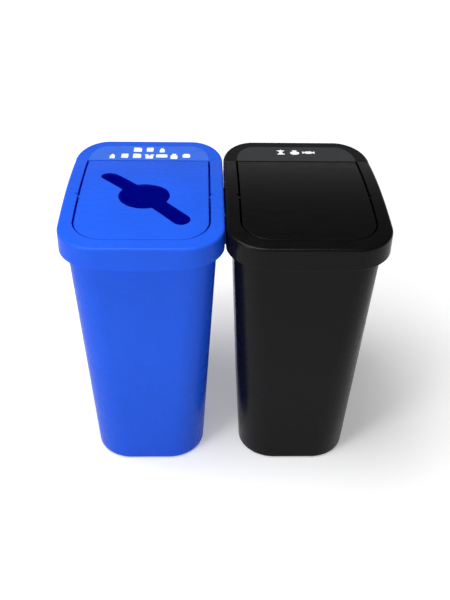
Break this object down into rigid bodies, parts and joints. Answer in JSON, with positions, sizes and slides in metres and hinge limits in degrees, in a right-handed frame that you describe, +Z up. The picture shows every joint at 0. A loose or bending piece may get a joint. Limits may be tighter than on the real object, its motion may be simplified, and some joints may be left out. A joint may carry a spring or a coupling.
{
  "type": "recycling bin station",
  "caption": "Side-by-side recycling and waste bins: tapered moulded tubs with arched lift-off lids, push flaps on side pivots and a mixed round-and-slot opening.",
  "frame": {"origin": "on the floor, midway between the two bins and between the front and the back of the lids", "axes": "+X towards the waste bin, +Y to the back, +Z up; the openings face up and the labels read from the front"},
  "size_m": [0.582, 0.4274, 0.545],
  "materials": {
    "recycling_plastic": "satin moulded",
    "waste_plastic": "satin moulded",
    "recycling_label": "satin film",
    "waste_label": "satin film",
    "print_ink": "printed white",
    "pad_rubber": "matte",
    "bracket_plastic": "moulded nylon",
    "fastener_steel": "zinc plated"
  },
  "bodies": {
    "station": {"recycling_bin_body": "recycling_plastic", "recycling_foot_pads": "pad_rubber", "waste_bin_body": "waste_plastic", "waste_foot_pads": "pad_rubber", "link_bracket_front": "bracket_plastic", "link_bracket_rear": "bracket_plastic", "link_screws": "fastener_steel", "link_washers": "fastener_steel"},
    "recycling_lid": {"recycling_lid_frame": "recycling_plastic", "recycling_label": "recycling_label", "recycling_label_print": "print_ink"},
    "recycling_swing_flap": {"recycling_flap": "recycling_plastic", "recycling_pivot_pin_left": "recycling_plastic", "recycling_pivot_pin_right": "recycling_plastic"},
    "waste_lid": {"waste_lid_frame": "waste_plastic", "waste_label": "waste_label", "waste_label_print": "print_ink"},
    "waste_swing_flap": {"waste_flap": "waste_plastic", "waste_pivot_pin_left": "waste_plastic", "waste_pivot_pin_right": "waste_plastic"}
  },
  "joints": [
    {"name": "recycling_lid_lift", "type": "slide", "parent": "station", "child": "recycling_lid", "axis": [0, 0, 1], "range_m": [0, 0.15]},
    {"name": "recycling_flap_swing", "type": "hinge", "parent": "recycling_lid", "child": "recycling_swing_flap", "pos_m": [-0.146, -0.042, 0.53687], "axis": [1, 0, 0], "range_deg": [0, 75]},
    {"name": "waste_lid_lift", "type": "slide", "parent": "station", "child": "waste_lid", "axis": [0, 0, 1], "range_m": [0, 0.15]},
    {"name": "waste_flap_swing", "type": "hinge", "parent": "waste_lid", "child": "waste_swing_flap", "pos_m": [0.146, -0.042, 0.53687], "axis": [1, 0, 0], "range_deg": [0, 75]}
  ]
}
